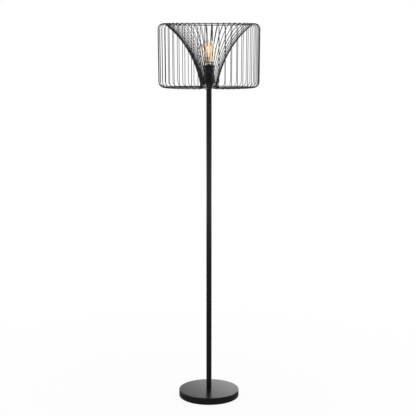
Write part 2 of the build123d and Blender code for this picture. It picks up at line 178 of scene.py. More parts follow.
# ---------------------------------------------------------------- base cover
# A steel disc pressed into a shallow cup, 27 mm deep, with a small round at the top edge. It is powder coated
# satin black: the coat has a fine orange peel, and its gloss picks up the pale backdrop at a low angle.
MERGE = 0.02 * MM
SMOOTH_ANGLE = 35


def turn(name, profile, sides=96):
    """A piece turned about the Z axis. One ring of points is raised from corner to corner of the profile."""
    bpy.ops.object.select_all(action="DESELECT")
    radius, height = profile[0]
    bpy.ops.mesh.primitive_circle_add(
        vertices=sides, radius=radius, location=(0, 0, height), enter_editmode=True
    )
    for (r0, z0), (r1, z1) in zip(profile, profile[1:]):
        bpy.ops.mesh.extrude_region_move(TRANSFORM_OT_translate={"value": (0, 0, z1 - z0)})
        bpy.ops.transform.resize(value=(r1 / r0, r1 / r0, 1), center_override=(0, 0, z1))
    return close_up(name)


def close_up(name, smooth_angle=SMOOTH_ANGLE):
    """Joins the ends of a new piece, points its faces outwards and puts its origin at the frame's."""
    bpy.ops.mesh.select_all(action="SELECT")
    bpy.ops.mesh.remove_doubles(threshold=MERGE)
    bpy.ops.mesh.normals_make_consistent(inside=False)
    bpy.ops.object.mode_set(mode="OBJECT")
    bpy.ops.object.transform_apply(location=True, rotation=True, scale=True)
    bpy.ops.object.shade_smooth_by_angle(angle=math.radians(smooth_angle))
    piece = bpy.context.object
    piece.name = piece.data.name = name
    return piece


def arc(centre, radius, first, last, steps):
    """Corners of a profile along an arc, from one angle in degrees to another."""
    angles = [math.radians(first + (last - first) * i / steps) for i in range(steps + 1)]
    return [(centre[0] + radius * math.cos(a), centre[1] + radius * math.sin(a)) for a in angles]


COVER_WALL = 1.2 * MM
COVER_ROUND = 1.8 * MM
COVER_HOLE = 5.25 * MM
BURR = 0.3 * MM
GLAND_HOLE = 5.3 * MM
DRILL_LENGTH = 12 * COVER_WALL

cover_low, cover_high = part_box("base_cover")
cover_r = cover_high.x
cover = turn(
    "cover_shell",
    [
        (cover_r - COVER_WALL + BURR, cover_low.z),
        (cover_r - BURR, cover_low.z),
        (cover_r, cover_low.z + BURR),
        *arc((cover_r - COVER_ROUND, cover_high.z - COVER_ROUND), COVER_ROUND, first=0, last=90, steps=6),
        (COVER_HOLE, cover_high.z),
        (COVER_HOLE, cover_high.z - COVER_WALL),
        (cover_r - COVER_ROUND, cover_high.z - COVER_WALL),
        (cover_r - COVER_WALL, cover_high.z - COVER_ROUND),
        (cover_r - COVER_WALL, cover_low.z + BURR),
        (cover_r - COVER_WALL + BURR, cover_low.z),
    ],
    sides=256,
)
gland_low, gland_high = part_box("cord_gland")
gland_z = (gland_low.z + gland_high.z) / 2
bpy.ops.object.select_all(action="DESELECT")
bpy.ops.mesh.primitive_cylinder_add(
    vertices=48,
    radius=GLAND_HOLE,
    depth=DRILL_LENGTH,
    location=(0, cover_r, gland_z),
    rotation=(math.pi / 2, 0, 0),
)
drill = bpy.context.object
bpy.context.view_layer.objects.active = cover
bpy.ops.object.modifier_add(type="BOOLEAN")
cover.modifiers[0].object = drill
cover.modifiers[0].solver = "EXACT"
bpy.ops.object.modifier_apply(modifier=cover.modifiers[0].name)
bpy.data.objects.remove(drill)
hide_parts("base_cover")
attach(cover, "lamp")

PEEL = 1.4 * MM
SPECK = 0.35 * MM  # drawn coarser than the real grains of powder, which are too fine to show
coat = start_material("Steel, satin black powder coat")
coat_place = add_node(coat, "ShaderNodeTexCoord")
coat_peel = add_node(
    coat,
    "ShaderNodeTexNoise",
    {"Scale": 1 / PEEL, "Detail": 2.0, "Roughness": 0.5},
    {"Vector": coat_place.outputs["Object"]},
)
coat_speck = add_node(
    coat,
    "ShaderNodeTexNoise",
    {"Scale": 1 / SPECK, "Detail": 1.0},
    {"Vector": coat_place.outputs["Object"]},
)
coat_colour = add_node(coat, "ShaderNodeValToRGB", links={"Fac": coat_speck.outputs["Fac"]})
coat_colour.color_ramp.elements[0].color = linear("#131213")
coat_colour.color_ramp.elements[1].color = linear("#1b1a1a")
coat_rough = add_node(
    coat,
    "ShaderNodeMapRange",
    {"To Min": 0.20, "To Max": 0.27},
    {"Value": coat_peel.outputs["Fac"]},
)
coat_bump = add_node(
    coat,
    "ShaderNodeBump",
    {"Strength": 0.15, "Distance": 0.03 * MM},
    {"Height": coat_peel.outputs["Fac"]},
)
coat_face = add_node(
    coat,
    "ShaderNodeBsdfPrincipled",
    {"IOR": 1.45},
    {
        "Base Color": coat_colour.outputs["Color"],
        "Roughness": coat_rough.outputs["Result"],
        "Normal": coat_bump.outputs["Normal"],
    },
)
add_node(coat, "ShaderNodeOutputMaterial", links={"Surface": coat_face.outputs["BSDF"]})
wear(coat, cover)


# ---------------------------------------------------------------- gland
# A flanged bush of black nylon that clips into the back of the cover, where the lead comes in. It is moulded,
# with a faint texture.
MOULD_GRAIN = 0.8 * MM  # drawn coarser than the mould's real grain, which is too fine to show
nylon = start_material("Nylon, moulded black")
nylon_place = add_node(nylon, "ShaderNodeTexCoord")
nylon_grain = add_node(
    nylon,
    "ShaderNodeTexNoise",
    {"Scale": 1 / MOULD_GRAIN, "Detail": 3.0},
    {"Vector": nylon_place.outputs["Object"]},
)
nylon_bump = add_node(
    nylon,
    "ShaderNodeBump",
    {"Strength": 0.3, "Distance": 0.03 * MM},
    {"Height": nylon_grain.outputs["Fac"]},
)
nylon_rough = add_node(
    nylon,
    "ShaderNodeMapRange",
    {"To Min": 0.45, "To Max": 0.6},
    {"Value": nylon_grain.outputs["Fac"]},
)
nylon_face = add_node(
    nylon,
    "ShaderNodeBsdfPrincipled",
    {"Base Color": linear("#161616"), "IOR": 1.53},
    {"Roughness": nylon_rough.outputs["Result"], "Normal": nylon_bump.outputs["Normal"]},
)
add_node(nylon, "ShaderNodeOutputMaterial", links={"Surface": nylon_face.outputs["BSDF"]})
wear(nylon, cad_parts["cord_gland"])


# ---------------------------------------------------------------- pole
# Three equal steel tubes, 22 mm wide, screwed end to end with plated sockets and studs and powder coated like
# the base. Their ends are broken with a small chamfer, so each joint shows as a hairline.
TUBE_WALL = 1.2 * MM
TUBE_CHAMFER = 0.25 * MM
for node in ("lower_tube", "middle_tube", "upper_tube"):
    low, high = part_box(node)
    tube_r = high.x
    pipe = turn(
        node.replace("tube", "pipe"),
        [
            (tube_r - TUBE_WALL, low.z),
            (tube_r - TUBE_CHAMFER, low.z),
            (tube_r, low.z + TUBE_CHAMFER),
            (tube_r, high.z - TUBE_CHAMFER),
            (tube_r - TUBE_CHAMFER, high.z),
            (tube_r - TUBE_WALL, high.z),
            (tube_r - TUBE_WALL, low.z),
        ],
        sides=72,
    )
    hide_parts(node)
    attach(pipe, "lamp")
    wear(coat, pipe)
for node in ("bottom_insert", "joint_sockets", "joint_studs", "top_insert", "top_nipple"):
    wear(zinc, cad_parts[node])


# ---------------------------------------------------------------- cup on top of the pole
# A short cone, spun from sheet steel and powder coated with the pole. It widens from the tube to the
# lampholder and carries the shade's plate on its lip.
CUP_WALL = 1.2 * MM
CUP_LIP = 2.0 * MM
CUP_FLOOR = 1.5 * MM
CUP_HOLE = 5.25 * MM
CUP_ROUND = 1.6 * MM
cup_low, cup_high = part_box("pole_cup")
cup_r = cup_high.x
cup = turn(
    "spun_cup",
    [
        (CUP_HOLE, cup_low.z),
        (tube_r - CUP_ROUND, cup_low.z),
        (tube_r, cup_low.z + CUP_ROUND / 2),
        (cup_r - CUP_ROUND / 2, cup_high.z - CUP_LIP - CUP_ROUND / 2),
        (cup_r, cup_high.z - CUP_LIP + CUP_ROUND / 2),
        (cup_r, cup_high.z),
        (cup_r - CUP_WALL, cup_high.z),
        (cup_r - CUP_WALL, cup_high.z - CUP_LIP),
        (tube_r - CUP_WALL / 2, cup_low.z + CUP_FLOOR),
        (CUP_HOLE, cup_low.z + CUP_FLOOR),
        (CUP_HOLE, cup_low.z),
    ],
)
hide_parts("pole_cup")
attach(cup, "lamp")
wear(coat, cup)


# ---------------------------------------------------------------- cage shade: plate
# A flat steel spider, cut from 2 mm sheet, that lies under the lampholder and carries the cage on its rim. It
# has three arms and is powder coated with the cage.
wear(coat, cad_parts["fitter_plate"])
plate_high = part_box("fitter_plate")[1]


# ---------------------------------------------------------------- cage shade: wire loops
# Forty-eight closed loops of 2.5 mm mild steel wire. Each is bent in one plane, over the top ring, down the
# funnel, out along the bottom and up the outer wall, and the welded cage is powder coated black.
WIRE_R = 1.25 * MM
WIRE_SIDES = 12
LOOPS_PER_NODE = 4
CREST_BEND = 6 * MM
CREST_FACETS = 4
FUNNEL_TOP_FACETS = 6
FUNNEL_FOOT_FACETS = 8
FUNNEL_NECK = math.radians(10)
FUNNEL_MID = math.radians(36)
FUNNEL_RIM = math.radians(54)
NECK_BEND = 12 * MM
NECK_FACETS = 8
NECK_R = 35 * MM
WALL_TOP_BEND = 22 * MM
WALL_FOOT_BEND = 22 * MM
WALL_FACETS = 10
WALL_LEAN = math.radians(0.5)
QUARTER = math.radians(90)
FIRST_ANGLE = math.radians(3)
SPACING_ERROR = math.radians(0.25)
SPACING_SEED = 48

loop_nodes = sorted(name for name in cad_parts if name.startswith("cage_wires_"))
loop_count = LOOPS_PER_NODE * len(loop_nodes)
spacing = 2 * math.pi / loop_count
cage_low, cage_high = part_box(loop_nodes[0])
wall_r = (cage_high.x - WIRE_R) / math.cos(FIRST_ANGLE)
crest_r = wall_r - WALL_TOP_BEND
low_z = cage_low.z + WIRE_R
high_z = cage_high.z - WIRE_R


def funnel_radii():
    """Radii of the two arcs that carry the funnel from the slope at its neck to the slope at its rim."""
    reach = crest_r - CREST_BEND * math.cos(FUNNEL_RIM) - NECK_R - NECK_BEND * (1 - math.cos(FUNNEL_NECK))
    rise = high_z - CREST_BEND * (1 - math.sin(FUNNEL_RIM)) - low_z - NECK_BEND * (1 + math.sin(FUNNEL_NECK))
    lower_x = math.cos(FUNNEL_NECK) - math.cos(FUNNEL_MID)
    lower_z = math.sin(FUNNEL_MID) - math.sin(FUNNEL_NECK)
    upper_x = math.cos(FUNNEL_MID) - math.cos(FUNNEL_RIM)
    upper_z = math.sin(FUNNEL_RIM) - math.sin(FUNNEL_MID)
    scale = lower_x * upper_z - upper_x * lower_z
    return (reach * upper_z - upper_x * rise) / scale, (lower_x * rise - lower_z * reach) / scale


lower_arc, upper_arc = funnel_radii()
bends_rise = WALL_TOP_BEND * (1 + math.sin(WALL_LEAN)) + WALL_FOOT_BEND * (1 - math.sin(WALL_LEAN))
wall_length = (high_z - low_z - bends_rise) / math.cos(WALL_LEAN)
wall_shift = (WALL_TOP_BEND - WALL_FOOT_BEND) * math.cos(WALL_LEAN) - wall_length * math.sin(WALL_LEAN)
bottom_length = crest_r + wall_shift - NECK_R - NECK_BEND
bends = [  # radius, angle and facets of a bend, or 0, length and 1 of a straight run
    (CREST_BEND, QUARTER - FUNNEL_RIM, CREST_FACETS),
    (upper_arc, FUNNEL_RIM - FUNNEL_MID, FUNNEL_TOP_FACETS),
    (lower_arc, FUNNEL_MID - FUNNEL_NECK, FUNNEL_FOOT_FACETS),
    (NECK_BEND, QUARTER + FUNNEL_NECK, NECK_FACETS),
    (0, bottom_length, 1),
    (WALL_FOOT_BEND, QUARTER - WALL_LEAN, WALL_FACETS),
    (0, wall_length, 1),
    (WALL_TOP_BEND, QUARTER + WALL_LEAN, WALL_FACETS),
]
bpy.ops.object.select_all(action="DESELECT")
place = Vector((crest_r, 0, high_z))
heading = Vector((-1, 0, 0))
bpy.ops.mesh.primitive_circle_add(
    vertices=WIRE_SIDES, radius=WIRE_R, location=place, rotation=(0, QUARTER, 0), enter_editmode=True
)
for radius, amount, facets in bends:
    if radius:
        pivot = place + heading.cross(Vector((0, 1, 0))) * radius
        bpy.ops.mesh.spin(steps=facets, angle=amount, center=pivot, axis=(0, 1, 0))
        bent = Matrix.Rotation(-amount, 3, "Y")
        place = pivot + bent @ (place - pivot)
        heading = bent @ heading
    else:
        bpy.ops.mesh.extrude_region_move(TRANSFORM_OT_translate={"value": heading * amount})
        place += heading * amount
loop = close_up("wire_loop")
wear(coat, loop)


def copy_turned(piece, name, angle):
    """A copy of a piece with a mesh of its own, turned about the Z axis."""
    bpy.ops.object.select_all(action="DESELECT")
    twin = piece.copy()
    twin.data = piece.data.copy()
    bpy.context.collection.objects.link(twin)
    twin.select_set(True)
    bpy.context.view_layer.objects.active = twin
    twin.rotation_euler.z = angle
    bpy.ops.object.transform_apply(location=False, rotation=True, scale=False)
    twin.name = twin.data.name = name
    return twin


def join(pieces):
    """Makes one piece of several. It keeps the first one's name."""
    bpy.ops.object.select_all(action="DESELECT")
    for piece in pieces:
        piece.select_set(True)
    bpy.context.view_layer.objects.active = pieces[0]
    bpy.ops.object.join()
    return pieces[0]


random.seed(SPACING_SEED)
angle = FIRST_ANGLE
for node in loop_nodes:
    loops = []
    for _ in range(LOOPS_PER_NODE):
        error = random.uniform(-SPACING_ERROR, SPACING_ERROR)
        loops.append(copy_turned(loop, node.replace("wires", "loops"), angle + error))
        angle += spacing
    group = join(loops)
    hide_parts(node)
    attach(group, "lamp")
bpy.data.objects.remove(loop)


# ---------------------------------------------------------------- cage shade: top ring and welds
# A ring of 3.5 mm wire lies in the crests of the loops, butt welded at the back. A small resistance weld
# holds each loop to the ring, and another to the rim of the plate under the lampholder.
RING_SIDES = 16
RING_FACETS = 240
BUTT_WELD = 1.25
WELD_R = 1.4 * MM
WELD_RISE = 0.75 * MM
WELD_STEP = WELD_RISE * 2 / 3
WELD_SWELL = (2, 1, 0.5)
WELD_UNEVEN = WELD_R / 10
WELD_SEED = 3

ring_low, ring_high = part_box("top_ring")
ring_wire_r = (ring_high.z - ring_low.z) / 2
ring_r = ring_high.x - ring_wire_r
ring_z = (ring_high.z + ring_low.z) / 2
bpy.ops.object.select_all(action="DESELECT")
bpy.ops.mesh.primitive_circle_add(
    vertices=RING_SIDES,
    radius=ring_wire_r,
    location=(0, ring_r, ring_z),
    rotation=(0, QUARTER, 0),
    enter_editmode=True,
)
bpy.ops.mesh.spin(steps=RING_FACETS, angle=2 * math.pi, center=(0, 0, 0), axis=(0, 0, 1))
ring = close_up("weld_ring")
bpy.ops.object.mode_set(mode="EDIT")
bpy.ops.mesh.select_all(action="DESELECT")
bpy.ops.object.mode_set(mode="OBJECT")
for vertex in ring.data.vertices:
    vertex.select = vertex.co.y > 0 and abs(vertex.co.x) < WELD_R
bpy.ops.object.mode_set(mode="EDIT")
bpy.ops.transform.resize(value=(1, BUTT_WELD, BUTT_WELD), center_override=(0, ring_r, ring_z))
bpy.ops.object.mode_set(mode="OBJECT")
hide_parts("top_ring")
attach(ring, "lamp")
wear(coat, ring)


def weld(name, place):
    """A lump of weld metal: a ring of corners raised, widened, drawn in again and made a little uneven."""
    bpy.ops.object.select_all(action="DESELECT")
    bpy.ops.mesh.primitive_circle_add(
        vertices=8,
        radius=WELD_R / 2,
        fill_type="NGON",
        location=(place.x, 0, place.z - WELD_RISE),
        enter_editmode=True,
    )
    for widen in WELD_SWELL:
        bpy.ops.mesh.extrude_region_move(TRANSFORM_OT_translate={"value": (0, 0, WELD_STEP)})
        bpy.ops.transform.resize(value=(widen, widen, 1), center_override=(place.x, 0, place.z))
    bpy.ops.mesh.select_all(action="SELECT")
    bpy.ops.transform.vertex_random(offset=WELD_UNEVEN, uniform=0.5, seed=WELD_SEED)
    return close_up(name, smooth_angle=80)


crest_middle = (QUARTER - FUNNEL_RIM) / 2
ring_weld_x = ring_r + ring_wire_r * math.sin(crest_middle)
ring_weld_z = ring_z + ring_wire_r * math.cos(crest_middle)
ring_weld = weld("ring_weld", Vector((ring_weld_x, 0, ring_weld_z)))
plate_weld = weld("plate_weld", Vector((plate_high.y, 0, plate_high.z)))
weld_pair = join([ring_weld, plate_weld])
beads = join([copy_turned(weld_pair, "weld_beads", FIRST_ANGLE + spacing * i) for i in range(loop_count)])
bpy.data.objects.remove(weld_pair)
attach(beads, "lamp")
wear(coat, beads)


# ---------------------------------------------------------------- lampholder: cap and skirt
# A lampholder moulded in black thermoset, satin, with a faint moulded texture. A grub screw locks its cap on
# the nipple, and the skirt screws into the cap and ends in a wider rim.
HOLDER_FOOT_R = 23.75 * MM
HOLDER_SIDE = 13 * MM
HOLDER_BEVEL = 3 * MM
HOLDER_BORE = 19.6 * MM
HOLDER_ENTRY = 5.05 * MM
HOLDER_FLOOR = 4 * MM
HOLDER_ROUND = 1 * MM
SEAM_R = 21.6 * MM
SEAM_GROOVE = 0.5 * MM
SKIRT_R = 20.3 * MM
SKIRT_BORE = 16.2 * MM
RIM_HEIGHT = 7 * MM
RIM_SLOPE = 3 * MM

thermoset = start_material("Phenolic thermoset, moulded black")
thermoset_place = add_node(thermoset, "ShaderNodeTexCoord")
thermoset_grain = add_node(
    thermoset,
    "ShaderNodeTexNoise",
    {"Scale": 1 / MOULD_GRAIN, "Detail": 4.0},
    {"Vector": thermoset_place.outputs["Object"]},
)
thermoset_colour = add_node(
    thermoset, "ShaderNodeValToRGB", links={"Fac": thermoset_grain.outputs["Fac"]}
)
thermoset_colour.color_ramp.elements[0].color = linear("#151415")
thermoset_colour.color_ramp.elements[1].color = linear("#1d1c1c")
thermoset_rough = add_node(
    thermoset,
    "ShaderNodeMapRange",
    {"To Min": 0.38, "To Max": 0.5},
    {"Value": thermoset_grain.outputs["Fac"]},
)
thermoset_bump = add_node(
    thermoset,
    "ShaderNodeBump",
    {"Strength": 0.25, "Distance": 0.04 * MM},
    {"Height": thermoset_grain.outputs["Fac"]},
)
thermoset_face = add_node(
    thermoset,
    "ShaderNodeBsdfPrincipled",
    {"IOR": 1.5},
    {
        "Base Color": thermoset_colour.outputs["Color"],
        "Roughness": thermoset_rough.outputs["Result"],
        "Normal": thermoset_bump.outputs["Normal"],
    },
)
add_node(thermoset, "ShaderNodeOutputMaterial", links={"Surface": thermoset_face.outputs["BSDF"]})

cap_low, cap_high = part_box("holder_cap")
holder_cap = turn(
    "cap_moulding",
    [
        (HOLDER_ENTRY, cap_low.z),
        (HOLDER_FOOT_R - HOLDER_BEVEL, cap_low.z),
        (HOLDER_FOOT_R, cap_low.z + HOLDER_BEVEL),
        (HOLDER_FOOT_R, cap_low.z + HOLDER_SIDE),
        (SEAM_R, cap_high.z - SEAM_GROOVE),
        (SEAM_R - SEAM_GROOVE, cap_high.z),
        (HOLDER_BORE, cap_high.z),
        (HOLDER_BORE, cap_low.z + HOLDER_FLOOR),
        (HOLDER_ENTRY, cap_low.z + HOLDER_FLOOR),
        (HOLDER_ENTRY, cap_low.z),
    ],
)
skirt_low, skirt_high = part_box("holder_skirt")
rim_r = skirt_high.x - HOLDER_ROUND
rim_foot = skirt_high.z - RIM_HEIGHT
rim_top = skirt_high.z - HOLDER_ROUND
holder_skirt = turn(
    "skirt_moulding",
    [
        (SKIRT_BORE, skirt_low.z),
        (HOLDER_BORE, skirt_low.z),
        (HOLDER_BORE, cap_high.z),
        (SKIRT_R, cap_high.z),
        (SKIRT_R, rim_foot - RIM_SLOPE),
        *arc((rim_r, rim_foot + HOLDER_ROUND), HOLDER_ROUND, first=-40, last=0, steps=3),
        *arc((rim_r, rim_top), HOLDER_ROUND, first=0, last=90, steps=4),
        *arc((SKIRT_BORE + HOLDER_ROUND, rim_top), HOLDER_ROUND, first=90, last=180, steps=4),
        (SKIRT_BORE, skirt_low.z),
    ],
)
for piece, node in ((holder_cap, "holder_cap"), (holder_skirt, "holder_skirt")):
    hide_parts(node)
    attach(piece, "lamp")
    wear(thermoset, piece)
wear(zinc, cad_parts["grub_screw"])


# ---------------------------------------------------------------- lampholder: ceramic, shell and contacts
# A pressed and fired ceramic insert, matt and off-white, holds a screw shell drawn from brass sheet, bright
# with light tarnish. Under it the leads end in brass blocks, and a steel spring lifts the brass contact.
CERAMIC_GRAIN = 0.5 * MM  # drawn coarser than the real grain, which is too fine to show
TARNISH = 6 * MM

steatite = start_material("Steatite ceramic, unglazed")
steatite_place = add_node(steatite, "ShaderNodeTexCoord")
steatite_grain = add_node(
    steatite,
    "ShaderNodeTexNoise",
    {"Scale": 1 / CERAMIC_GRAIN, "Detail": 3.0},
    {"Vector": steatite_place.outputs["Object"]},
)
steatite_colour = add_node(
    steatite, "ShaderNodeValToRGB", links={"Fac": steatite_grain.outputs["Fac"]}
)
steatite_colour.color_ramp.elements[0].color = linear("#d9d5c9")
steatite_colour.color_ramp.elements[1].color = linear("#ebe8de")
steatite_bump = add_node(
    steatite,
    "ShaderNodeBump",
    {"Strength": 0.4, "Distance": 0.05 * MM},
    {"Height": steatite_grain.outputs["Fac"]},
)
steatite_face = add_node(
    steatite,
    "ShaderNodeBsdfPrincipled",
    {"Roughness": 0.7, "IOR": 1.55},
    {"Base Color": steatite_colour.outputs["Color"], "Normal": steatite_bump.outputs["Normal"]},
)
add_node(steatite, "ShaderNodeOutputMaterial", links={"Surface": steatite_face.outputs["BSDF"]})
wear(steatite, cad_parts["ceramic_insert"])

brass = start_material("Brass, deep drawn, lightly tarnished")
brass_place = add_node(brass, "ShaderNodeTexCoord")
brass_tarnish = add_node(
    brass,
    "ShaderNodeTexNoise",
    {"Scale": 1 / TARNISH, "Detail": 6.0},
    {"Vector": brass_place.outputs["Object"]},
)
brass_colour = add_node(brass, "ShaderNodeValToRGB", links={"Fac": brass_tarnish.outputs["Fac"]})
brass_colour.color_ramp.elements[0].color = linear("#b8975a")
brass_colour.color_ramp.elements[1].color = linear("#dcc07e")
brass_rough = add_node(
    brass,
    "ShaderNodeMapRange",
    {"To Min": 0.18, "To Max": 0.38},
    {"Value": brass_tarnish.outputs["Fac"]},
)
brass_face = add_node(
    brass,
    "ShaderNodeBsdfPrincipled",
    {"Metallic": 1.0},
    {"Base Color": brass_colour.outputs["Color"], "Roughness": brass_rough.outputs["Result"]},
)
add_node(brass, "ShaderNodeOutputMaterial", links={"Surface": brass_face.outputs["BSDF"]})
for node in ("screw_shell", "centre_contact", "terminal_blocks"):
    wear(brass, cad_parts[node])
for node in ("contact_spring", "terminal_screws"):
    wear(zinc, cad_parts[node])


# ---------------------------------------------------------------- bulb: cap
# A screw cap drawn from brass like the shell. Its end is closed with black glass, melted in, which is glossy
# with faint flow marks, and a plated eyelet in the middle of the glass makes the contact.
CAP_GLASS_FLOW = 2 * MM
cap_glass = start_material("Black glass, fused in the cap")
cap_glass_place = add_node(cap_glass, "ShaderNodeTexCoord")
cap_glass_flow = add_node(
    cap_glass,
    "ShaderNodeTexNoise",
    {"Scale": 1 / CAP_GLASS_FLOW, "Detail": 2.0},
    {"Vector": cap_glass_place.outputs["Object"]},
)
cap_glass_colour = add_node(
    cap_glass, "ShaderNodeValToRGB", links={"Fac": cap_glass_flow.outputs["Fac"]}
)
cap_glass_colour.color_ramp.elements[0].color = linear("#0b0b0f")
cap_glass_colour.color_ramp.elements[1].color = linear("#191820")
cap_glass_face = add_node(
    cap_glass,
    "ShaderNodeBsdfPrincipled",
    {"Roughness": 0.12, "IOR": 1.6},
    {"Base Color": cap_glass_colour.outputs["Color"]},
)
add_node(cap_glass, "ShaderNodeOutputMaterial", links={"Surface": cap_glass_face.outputs["BSDF"]})
wear(cap_glass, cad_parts["bulb_insulator"])
wear(brass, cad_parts["bulb_cap"])
wear(zinc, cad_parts["bulb_eyelet"])


# ---------------------------------------------------------------- bulb: glass
# A pear-shaped bulb blown in soda-lime glass, 58 mm wide, with an amber vapour coat. The wall is thin and
# clear, so the tint is deepest at the sides, where the eye looks through more of it.
GLASS_WALL = 0.8 * MM
GLASS_WAVE = 5 * MM
GLASS_NECK_R = 12.6 * MM
GLASS_NECK = 14 * MM
FLARE_R = 4 * MM
SHOULDER_R = 9 * MM
SHOULDER_SLOPE = 65

bulb_low, bulb_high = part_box("bulb_glass")
ball_r = bulb_high.x
ball_z = bulb_high.z - ball_r
flare_x = GLASS_NECK_R + FLARE_R
flare_z = bulb_low.z + GLASS_NECK
shoulder_x = flare_x - (FLARE_R + SHOULDER_R) * math.cos(math.radians(SHOULDER_SLOPE))
shoulder_z = flare_z + (FLARE_R + SHOULDER_R) * math.sin(math.radians(SHOULDER_SLOPE))
ball_turn = math.asin((ball_r - SHOULDER_R) / math.hypot(shoulder_x, ball_z - shoulder_z))
ball_slope = math.degrees(ball_turn - math.atan2(shoulder_x, ball_z - shoulder_z))
globe = turn(
    "bulb_globe",
    [
        (GLASS_NECK_R, bulb_low.z),
        *arc((flare_x, flare_z), FLARE_R, first=180, last=180 - SHOULDER_SLOPE, steps=5),
        *arc((shoulder_x, shoulder_z), SHOULDER_R, first=-SHOULDER_SLOPE, last=-ball_slope, steps=7),
        *arc((0, ball_z), ball_r, first=-ball_slope, last=90, steps=20),
    ],
    sides=128,
)
bpy.ops.object.modifier_add(type="SOLIDIFY")
globe.modifiers[0].thickness = GLASS_WALL
globe.modifiers[0].offset = -1
bpy.ops.object.modifier_apply(modifier=globe.modifiers[0].name)
bpy.ops.object.shade_smooth_by_angle(angle=math.radians(SMOOTH_ANGLE))
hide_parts("bulb_glass")
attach(globe, "bulb")

amber = start_material("Soda-lime glass, amber coated")
amber_place = add_node(amber, "ShaderNodeTexCoord")
amber_waves = add_node(
    amber,
    "ShaderNodeTexNoise",
    {"Scale": 1 / GLASS_WAVE, "Detail": 1.0},
    {"Vector": amber_place.outputs["Object"]},
)
amber_tint = add_node(amber, "ShaderNodeValToRGB", links={"Fac": amber_waves.outputs["Fac"]})
amber_tint.color_ramp.elements[0].color = linear("#fff0dc")
amber_tint.color_ramp.elements[1].color = linear("#fff6ea")
amber_bump = add_node(
    amber,
    "ShaderNodeBump",
    {"Strength": 0.15, "Distance": 0.1 * MM},
    {"Height": amber_waves.outputs["Fac"]},
)
amber_face = add_node(
    amber,
    "ShaderNodeBsdfPrincipled",
    {"Transmission Weight": 1.0, "Roughness": 0.01, "IOR": 1.5},
    {"Base Color": amber_tint.outputs["Color"], "Normal": amber_bump.outputs["Normal"]},
)
add_node(amber, "ShaderNodeOutputMaterial", links={"Surface": amber_face.outputs["BSDF"]})
wear(amber, globe)


# ---------------------------------------------------------------- bulb: stem and support wires
# A drawn glass tube, flared at its foot and fused into the neck. It is clear, with faint waves, and holds the
# plated wires that carry the filaments.
clear = start_material("Lead glass, drawn clear")
clear_place = add_node(clear, "ShaderNodeTexCoord")
clear_waves = add_node(
    clear,
    "ShaderNodeTexNoise",
    {"Scale": 1 / GLASS_WAVE, "Detail": 1.0},
    {"Vector": clear_place.outputs["Object"]},
)
clear_bump = add_node(
    clear,
    "ShaderNodeBump",
    {"Strength": 0.2, "Distance": 0.1 * MM},
    {"Height": clear_waves.outputs["Fac"]},
)
clear_rough = add_node(
    clear,
    "ShaderNodeMapRange",
    {"To Min": 0.0, "To Max": 0.03},
    {"Value": clear_waves.outputs["Fac"]},
)
clear_face = add_node(
    clear,
    "ShaderNodeBsdfPrincipled",
    {"Base Color": linear("#f6f8f6"), "Transmission Weight": 1.0, "IOR": 1.52},
    {"Roughness": clear_rough.outputs["Result"], "Normal": clear_bump.outputs["Normal"]},
)
add_node(clear, "ShaderNodeOutputMaterial", links={"Surface": clear_face.outputs["BSDF"]})
wear(clear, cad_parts["bulb_stem"])
wear(zinc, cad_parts["bulb_supports"])


# ---------------------------------------------------------------- bulb: filaments
# Four rods of sapphire set with small diodes and coated in yellow phosphor, slanting outwards from the stem.
# The lamp is lit: they glow nearly white at the top and golden towards the foot.
ROD_R = 1.1 * MM
ROD_FOOT_R = 5.2 * MM
ROD_TOP_R = 9 * MM
ROD_COUNT = 4
DIODE_PITCH = 1.5 * MM
WAVE_PERIOD = 0.314  # of the wave texture at scale 1
FOOT_GLOW = 0.9
TOP_GLOW = 5.0

rods_low, rods_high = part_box("bulb_filaments")
rod_length = rods_high.z - rods_low.z
rod_lean = (ROD_TOP_R - ROD_FOOT_R) / rod_length
bpy.ops.object.select_all(action="DESELECT")
bpy.ops.mesh.primitive_circle_add(
    vertices=16,
    radius=ROD_R / 2,
    fill_type="NGON",
    location=(ROD_FOOT_R, 0, rods_low.z),
    enter_editmode=True,
)
height = rods_low.z
for rise, widen in ((ROD_R / 2, 2), (rod_length - ROD_R, 1), (ROD_R / 2, 0.5)):
    height += rise
    bpy.ops.mesh.extrude_region_move(TRANSFORM_OT_translate={"value": (rise * rod_lean, 0, rise)})
    middle = (ROD_FOOT_R + (height - rods_low.z) * rod_lean, 0, height)
    bpy.ops.transform.resize(value=(widen, widen, 1), center_override=middle)
rod = close_up("filament_rods", smooth_angle=60)
rod_spacing = 2 * math.pi / ROD_COUNT
rods = join([copy_turned(rod, "filament_rods", rod_spacing * (i + 0.5)) for i in range(ROD_COUNT)])
bpy.data.objects.remove(rod)
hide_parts("bulb_filaments")
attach(rods, "bulb")

phosphor = start_material("Silicone with yellow phosphor, lit")
phosphor_place = add_node(phosphor, "ShaderNodeTexCoord")
phosphor_diodes = add_node(
    phosphor,
    "ShaderNodeTexWave",
    {"wave_type": "BANDS", "bands_direction": "Z", "Scale": WAVE_PERIOD / DIODE_PITCH, "Distortion": 0.0},
    {"Vector": phosphor_place.outputs["Object"]},
)
phosphor_glow = add_node(phosphor, "ShaderNodeValToRGB", links={"Fac": phosphor_diodes.outputs["Fac"]})
phosphor_glow.color_ramp.elements[0].color = linear("#ffd890")
phosphor_glow.color_ramp.elements[1].color = linear("#fff3cc")
phosphor_height = add_node(phosphor, "ShaderNodeSeparateXYZ", links={0: phosphor_place.outputs["Object"]})
phosphor_strength = add_node(
    phosphor,
    "ShaderNodeMapRange",
    {"From Min": rods_low.z, "From Max": rods_high.z, "To Min": FOOT_GLOW, "To Max": TOP_GLOW},
    {"Value": phosphor_height.outputs["Z"]},
)
